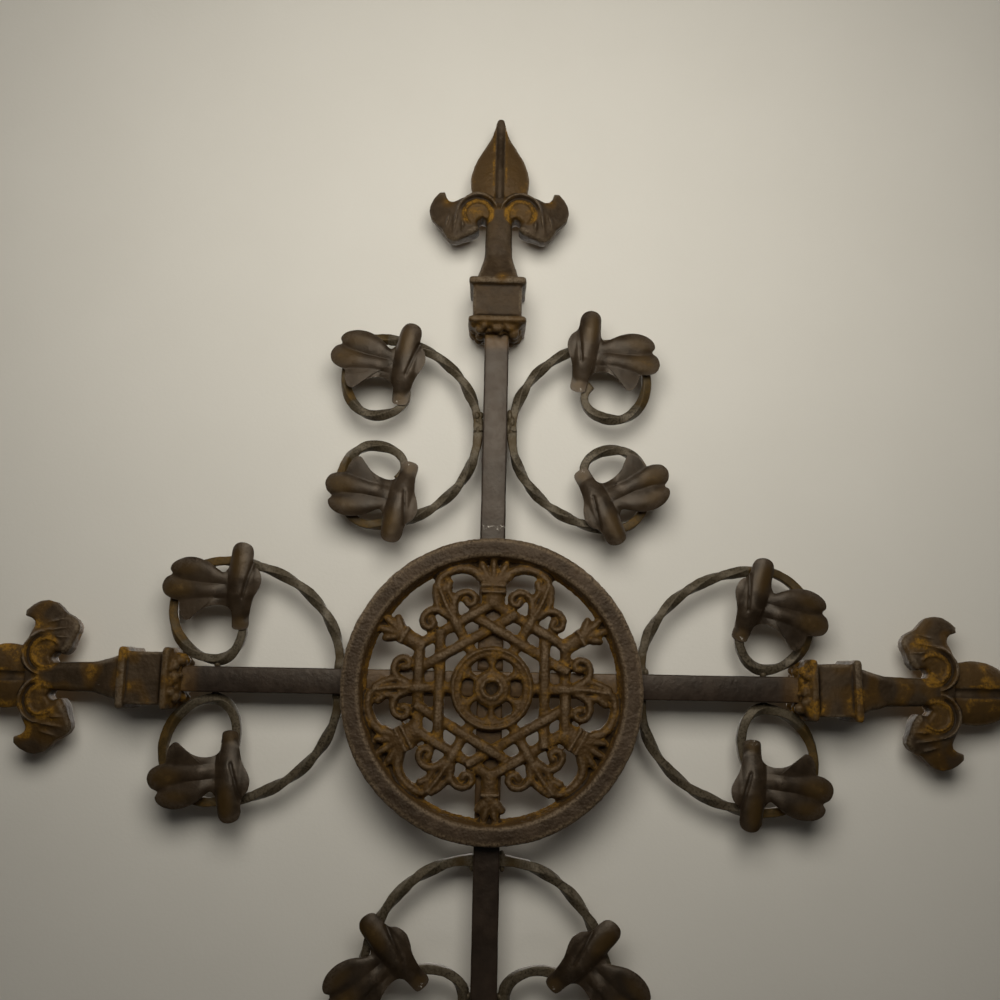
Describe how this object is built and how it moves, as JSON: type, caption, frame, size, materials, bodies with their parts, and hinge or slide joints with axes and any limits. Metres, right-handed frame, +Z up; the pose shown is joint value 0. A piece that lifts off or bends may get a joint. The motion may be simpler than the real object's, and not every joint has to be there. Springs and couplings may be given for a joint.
{
  "type": "wall cross",
  "caption": "Wall cross of square iron bar with fleur-de-lis finials, a pierced round medallion over the crossing and twisted scrolls ending in pressed leaves; hangs flat on a wall",
  "frame": {"origin": "on the back face of the cross bar, at the middle of the crossing", "axes": "+Z up the upper arm, +Y back towards the wall, +X to the right as the front is seen"},
  "size_m": [0.561, 0.0291, 0.7518],
  "materials": {
    "bar_iron": "dark brown oxide on smooth square bar and wire",
    "cast_iron": "rough cast skin, brown, with ochre rust in the hollows",
    "sheet_iron": "satin grey-brown pressed sheet with faint rust"
  },
  "bodies": {
    "root": {"cross_bar": "bar_iron", "upper_bar": "bar_iron", "lower_bar": "bar_iron", "medallion": "cast_iron", "finial_top": "cast_iron", "finial_left": "cast_iron", "finial_right": "cast_iron", "finial_bottom": "cast_iron", "scroll_top_left_upper": "bar_iron", "scroll_top_left_lower": "bar_iron", "scroll_top_right_upper": "bar_iron", "scroll_top_right_lower": "bar_iron", "scroll_left_upper": "bar_iron", "scroll_left_lower": "bar_iron", "scroll_right_upper": "bar_iron", "scroll_right_lower": "bar_iron", "scroll_bottom_left": "bar_iron", "scroll_bottom_right": "bar_iron", "leaf_top_left_upper": "sheet_iron", "leaf_top_left_lower": "sheet_iron", "leaf_top_right_upper": "sheet_iron", "leaf_top_right_lower": "sheet_iron", "leaf_left_upper": "sheet_iron", "leaf_left_lower": "sheet_iron", "leaf_right_upper": "sheet_iron", "leaf_right_lower": "sheet_iron", "leaf_bottom_left": "sheet_iron", "leaf_bottom_right": "sheet_iron"}
  },
  "joints": []
}
